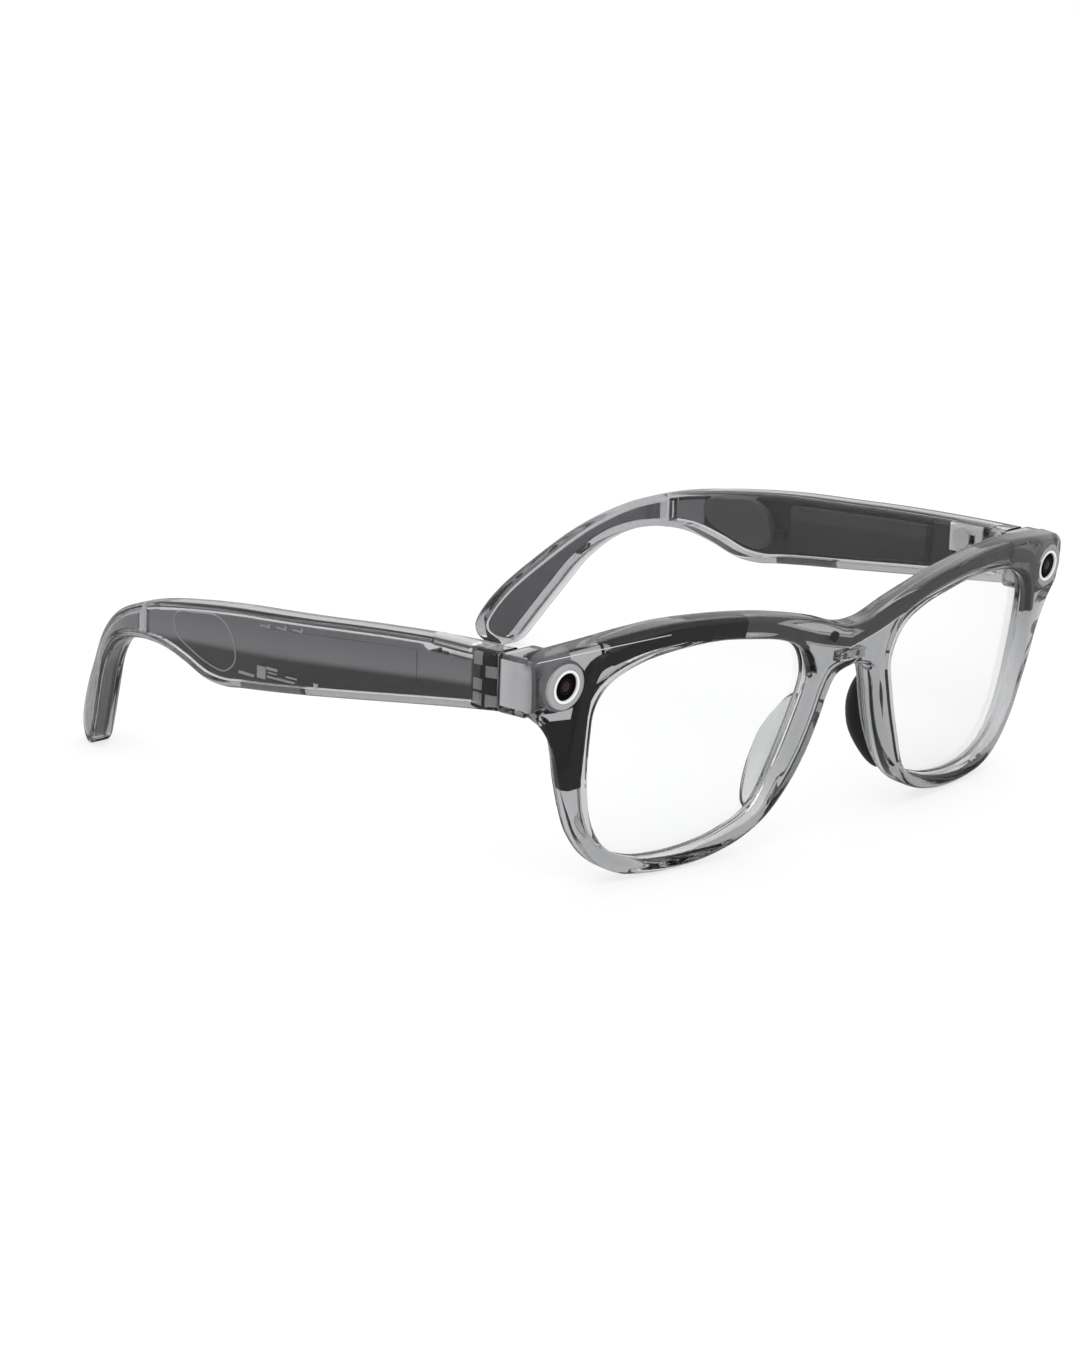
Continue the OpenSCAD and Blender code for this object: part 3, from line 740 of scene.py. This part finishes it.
def makeTemple(side):
    flat = plate([sideLine], temple["thickness"], temple["edge"], 5)
    word = "left" if side > 0 else "right"
    for keepOuter, part, node in ((False, "Cover", "cover"), (True, "Shell", "shell")):
        if keepOuter:
            hollowOut(flat)
        piece = splitBody(flat, keepOuter)
        sliceAlong(piece, sideLine[0].x, 135, temple["sliceStep"])
        bendOntoTemple(piece, side, temple["thickness"] / 2)
        place = Vector((side * hinge["x"], hinge["y"] + depthShift, (hinge["low"] + hinge["high"]) / 2)) * mm
        pocket = cylinderAt(place, hinge["pocket"] * mm, (hinge["high"] - hinge["low"]) * mm)
        combine(piece, pocket, "DIFFERENCE")
        finishPiece(piece, word + "Temple" + part, templeClear, word + "_temple",
                    [f"{word}_temple_{node}"])
    bpy.data.objects.remove(flat)


for side in (1, -1):
    makeTemple(side)
print("temples done")


# Pieces that lie flat in a temple: outline in (y, height), between two depths from the outer face
def templePiece(name, side, loops, near, far, material, slot, replaced=(), edge=0.12, slices=True):
    obj = plate(loops, far - near, edge, 3)
    if slices:
        across = [p.x for p in loops[0]]
        sliceAlong(obj, min(across), max(across), 2.5)
    bendOntoTemple(obj, side, (near + far) / 2)
    return finishPiece(obj, name, material, "left_temple" if side > 0 else "right_temple", replaced)


# A thin bead along a line given as places in metres
def bead(name, places, radius, material, body):
    startPiece()
    bpy.ops.curve.primitive_bezier_circle_add(radius=1)
    obj = bpy.context.object
    obj.location = (0, 0, 0)
    curve = obj.data
    curve.splines.clear()
    curve.dimensions = "3D"
    spline = curve.splines.new("POLY")
    spline.points.add(len(places) - 1)
    for point, place in zip(spline.points, places):
        point.co = (*place, 1)
    curve.bevel_depth = radius * mm
    curve.bevel_resolution = 2
    curve.use_fill_caps = True
    bpy.ops.object.convert(target="MESH")
    return finishPiece(bpy.context.object, name, material, body, angle=60, weighted=False)


carrier = {
    "near": 1.5, "far": 2.1, "inset": 1.5, "start": 24.5, "end": 100,
    "slotEnd": 34.9, "slotLevel": 38.4,    # step in its top, under the capture button
}
inside = {
    "speaker": (2.2, 4.1), "speakerEdge": 0.4,
    "tipCore": (0.95, 4.15), "tipInset": 1.55, "tipFrom": 102.6, "tipEdge": 0.7,
    "sensor": (1.25, 1.45), "sensorInset": 2.6, "sensorFrom": 36, "sensorTo": 68,
    "battery": (2.3, 4.1), "batteryInset": 2.4, "batteryFrom": 38, "batteryTo": 72,
    "rim": (1.32, 1.5), "rimOut": 0.1, "rimIn": 0.12,
}


def carrierOutline(belowButton):
    points = clipped(grown(sideLine, -carrier["inset"]), carrier["start"], carrier["end"])
    if belowButton:
        points = [Vector((p.x, min(p.y, carrier["slotLevel"]))) if p.x < carrier["slotEnd"] else p
                  for p in points]
    return points


speakerLine = smoothLoop(temple["speaker"], 5)

for side, word in ((1, "left"), (-1, "right")):
    templePiece(word + "Carrier", side, [carrierOutline(side < 0)], carrier["near"], carrier["far"],
                carrierPaintedSheen if side < 0 else darkCarrier, "carrier_dark", [word + "_carrier"])
    templePiece(word + "Speaker", side, [speakerLine], *inside["speaker"], speakerGrey, "barrel_black",
                [word + "_speaker"], inside["speakerEdge"])
    tipLine = clipped(grown(sideLine, -inside["tipInset"]), inside["tipFrom"], temple["tip"]["to"])
    templePiece(word + "TipCore", side, [tipLine], *inside["tipCore"], tipCore, "carrier_dark",
                [word + "_tip_core"], inside["tipEdge"])
sensorLine = clipped(grown(sideLine, -inside["sensorInset"]), inside["sensorFrom"], inside["sensorTo"])
templePiece("rightTouchSensor", -1, [sensorLine], *inside["sensor"], carrierPaintedSheen, "flex",
            ["right_touch_sensor"], 0.05)
batteryLine = clipped(grown(sideLine, -inside["batteryInset"]), inside["batteryFrom"], inside["batteryTo"])
templePiece("leftBattery", 1, [batteryLine], *inside["battery"], batteryPaintedSheen, "battery_foil",
            ["left_battery"], 0.3)
rimLines = [grown(speakerLine, inside["rimOut"]), grown(speakerLine, -inside["rimIn"])]
templePiece("rightSpeakerRim", -1, rimLines, *inside["rim"], seamLight, "grille_grey", edge=0.05)
print("carriers and speakers done")


# Nose pads: a lobe behind the rim that spreads away from the nose
nosePad = {
    "spine": [(9.9, 0.6, 4.0), (10.6, -2, 4.6), (12.3, -6.4, 5.8), (14.4, -11.6, 6.0), (17.2, -16.4, 5.0),
              (18.9, -19, 4.2)],
    "across": 2.3, "deep": 2.3, "nearest": 3.74,
    "bluntness": 0.15,     # 0 is a plain sphere's ends
}


def makeNosePad(side):
    startPiece()
    bpy.ops.mesh.primitive_uv_sphere_add(segments=40, ring_count=28, radius=1)
    pad = bpy.context.object
    spine = smoothLine(nosePad["spine"], 8)

    def onSpine(co):
        at = (1 - co.z) / 2 * (len(spine) - 1)
        low = min(int(at), len(spine) - 2)
        middle = spine[low].lerp(spine[low + 1], at - low)
        swell = (1 - co.z * co.z) ** nosePad["bluntness"]
        x = middle.x + co.x * nosePad["across"] * swell
        depth = max(middle.z + co.y * nosePad["deep"] * swell, nosePad["nearest"])
        return onFront(side * x, middle.y, depth)

    moveVertices(pad, onSpine)
    word = "left" if side > 0 else "right"
    finishPiece(pad, word + "NosePad", padDark if side > 0 else padClear, "front",
                ["nose_pad_" + word], angle=80, weighted=False)


for side in (1, -1):
    makeNosePad(side)
print("nose pads done")


def modulePiece(name, side, loops, near, far, edge, material, slot, replaced=()):
    obj = plate(loops, far - near, edge, 4)
    place = modulePlace(side)
    middle = (near + far) / 2
    moveVertices(obj, lambda co: (place @ Vector((co.x, co.y, middle - co.z))) * mm)
    return finishPiece(obj, name, material, "front", replaced)


def makeModule(side, word, bezelFinish):
    modulePiece(word + "Bezel", side, [circle(module["bezel"] - 0.01), circle(module["ring"] + 0.01)], 0,
                module["depth"], 0.3, bezelFinish, "bezel_grey", [word + "_bezel"])
    modulePiece(word + "TrimRing", side, [circle(module["ring"]), circle(module["glass"])], 0.0,
                module["depth"], 0.12, ringWhite, "ring_white", [word + "_trim_ring"])
    modulePiece(word + "Window", side, [circle(module["glass"] - 0.01)], *module["windowDepth"], 0.1,
                windowBlack, "window_black", [word + "_window"])
    modulePiece(word + "LensRim", side, [circle(radius) for radius in module["rim"]], *module["rimDepth"],
                0.03, barrelBlack, "barrel_black")
    startPiece()
    bpy.ops.mesh.primitive_uv_sphere_add(segments=32, ring_count=16, radius=1)
    dome = bpy.context.object
    place = modulePlace(side)
    size = Vector((module["dome"], module["dome"], module["domeRise"]))
    moveVertices(dome, lambda co: (place @ (co * size + Vector((0, 0, module["domeDepth"])))) * mm)
    finishPiece(dome, word + "FrontLens", lensGlint, "front", angle=80, weighted=False)


makeModule(-1, "light", bezelGrey)
makeModule(1, "camera", bridgeSmoke)
print("modules done")


# Capture button on top of the right temple
button = {
    "x": 71.3, "y": 28.5, "middle": 40.55,
    "thickness": 1.9, "radius": 1.3, "edge": 0.45,
    "straight": 3.7,       # half of the length between its round ends
}


def makeCaptureButton():
    half = button["straight"]
    pill = [Vector((button["x"] + p.x, button["y"] + p.y + (half if p.y > 0 else -half)))
            for p in circle(button["radius"], 48)]
    obj = plate([pill], button["thickness"], button["edge"], 4)
    moveVertices(obj, lambda co: Vector((-co.x, co.y + depthShift, co.z + button["middle"])) * mm)
    finishPiece(obj, "captureButton", silverSatin, "capture_button", ["capture_button"])


makeCaptureButton()


# Small fittings that show through the clear shell of the right temple
fittings = {
    "clips": [(60.5, 36.6), (64.2, 36.35), (68, 36.05)],
    "clipShape": [(0, 0), (2.2, 0.1), (2.2, 0.4), (0.5, 0.3), (0.3, 0.8), (0, 0.8)],
    "frontSquares": [(19.4, 31.6), (19.4, 36.4), (22, 34), (22, 38.2), (22, 31.6)],
    "squareSize": 1.9,
    "backing": (19.6, 31.3, 24.4, 40.2),
    "strip": (18.7, 31.8, 19.1, 40.4),
    "port": (57, 27.6, 57.9, 28.5),
    "rails": [(62.2, 27.5, 68.4, 27.9), (61.6, 28.3, 68.2, 28.6), (66, 28.9, 68.6, 29.4),
              (68.8, 27.1, 70.8, 29.2), (71.6, 26.9, 75.4, 27.4)],
}


# A fitting keeps its flat shape and takes no slices
def fitting(name, outline, near, far, material, slot, edge=0.05):
    templePiece(name, -1, [outline], near, far, material, slot, edge=edge, slices=False)


def makeFittings():
    for number, (y, z) in enumerate(fittings["clips"]):
        hook = [Vector((y + along, z + up)) for along, up in fittings["clipShape"]]
        fitting(f"topClip{number + 1}", hook, 1.25, 1.48, seamLight, "grille_grey", 0.04)
    fitting("frontBacking", box(*fittings["backing"]), 1.6, 1.9, darkCarrier, "carrier_dark")
    size = fittings["squareSize"]
    for number, (y, z) in enumerate(fittings["frontSquares"]):
        fitting(f"frontPad{number + 1}", box(y, z, y + size, z + size), 1.3, 1.5, satinPlate, "housing_grey")
    fitting("frontStrip", box(*fittings["strip"]), 1.0, 3.6, satinPlate, "housing_grey", 0.12)
    fitting("microphonePort", box(*fittings["port"]), 1.25, 1.48, ringWhite, "ring_white")
    for number, rail in enumerate(fittings["rails"]):
        fitting(f"portRail{number + 1}", box(*rail), 1.22, 1.46, seamLight, "grille_grey", 0.04)


makeFittings()

# Painted shade: a dark sheet beside the carrier in the right outer rim, from the light down to a stepped end,
# standing in for the shade there
rimPaintedShade = {
    "outline": [(60.5, 4.2), (68.3, 4.2), (66.6, 1.5), (65.2, -1.6), (64.6, -4.4), (63.1, -4.4), (62.9, -8),
                (60.3, -8)],
    "thickness": 0.5, "depth": 1.35, "from": -69, "to": -60, "sliceStep": 1.5,
}
shadeSheet = plate([[Vector((-x, z)) for x, z in rimPaintedShade["outline"]]], rimPaintedShade["thickness"], 0.1, 2)
sliceAlong(shadeSheet, rimPaintedShade["from"], rimPaintedShade["to"], rimPaintedShade["sliceStep"])
bendOntoFront(shadeSheet, rimPaintedShade["depth"])
finishPiece(shadeSheet, "rimPaintedShade", darkCarrier, "front")

# Painted highlight: a fine bright bead along the top edge of the front, from the light to the middle of the
# brow, standing in for the edge's highlight
highlightBead = {"from": 73, "to": 46, "start": 15.1, "slope": 0.115, "fall": 0.0011, "depth": -1.18, "radius": 0.07}


def highlightPlace(x):
    past = highlightBead["from"] - x
    place = onFront(x, highlightBead["start"] + past * highlightBead["slope"] - highlightBead["fall"] * past ** 2, highlightBead["depth"])
    return Vector((-place.x, place.y, place.z))


highlightLine = [highlightPlace(x) for x in range(highlightBead["from"], highlightBead["to"], -1)]
bead("browPaintedHighlight", highlightLine, highlightBead["radius"], seamLight, "front")
print("fittings done")


# Finishes of the pieces that keep their shape

nodeFinishes = {
    "light_housing": housingGrey, "camera_housing": housingGrey, "light_emitter": ringWhite,
    "charge_contacts": contactGold, "brow_flex": flexFilm, "brow_cover": smokeClear, "charge_plate": padClear,
    "power_switch_base": ringWhite, "bridge_microphone": barrelBlack,
    # The left brow carrier takes the lighter speakerGrey, a painted lit copy of the dark carrier that the
    # right one keeps
    "right_brow_carrier": darkCarrier, "left_brow_carrier": speakerGrey,
    "right_shield_can": silverSatin, "power_switch_knob": silverSatin,
}


def finishOf(name):
    if name in nodeFinishes:
        return nodeFinishes[name]
    if name.endswith("hinge") or name.endswith("screw"):
        return steelSatin
    if name.endswith("board"):
        return boardMask
    if name.endswith("grille"):
        return grilleGrey
    if name.endswith("antenna"):
        return flexFilm
    return barrelBlack


for name, node in cadNodes.items():
    node.data.materials.clear()
    node.data.materials.append(finishOf(name))
print("finishes done")
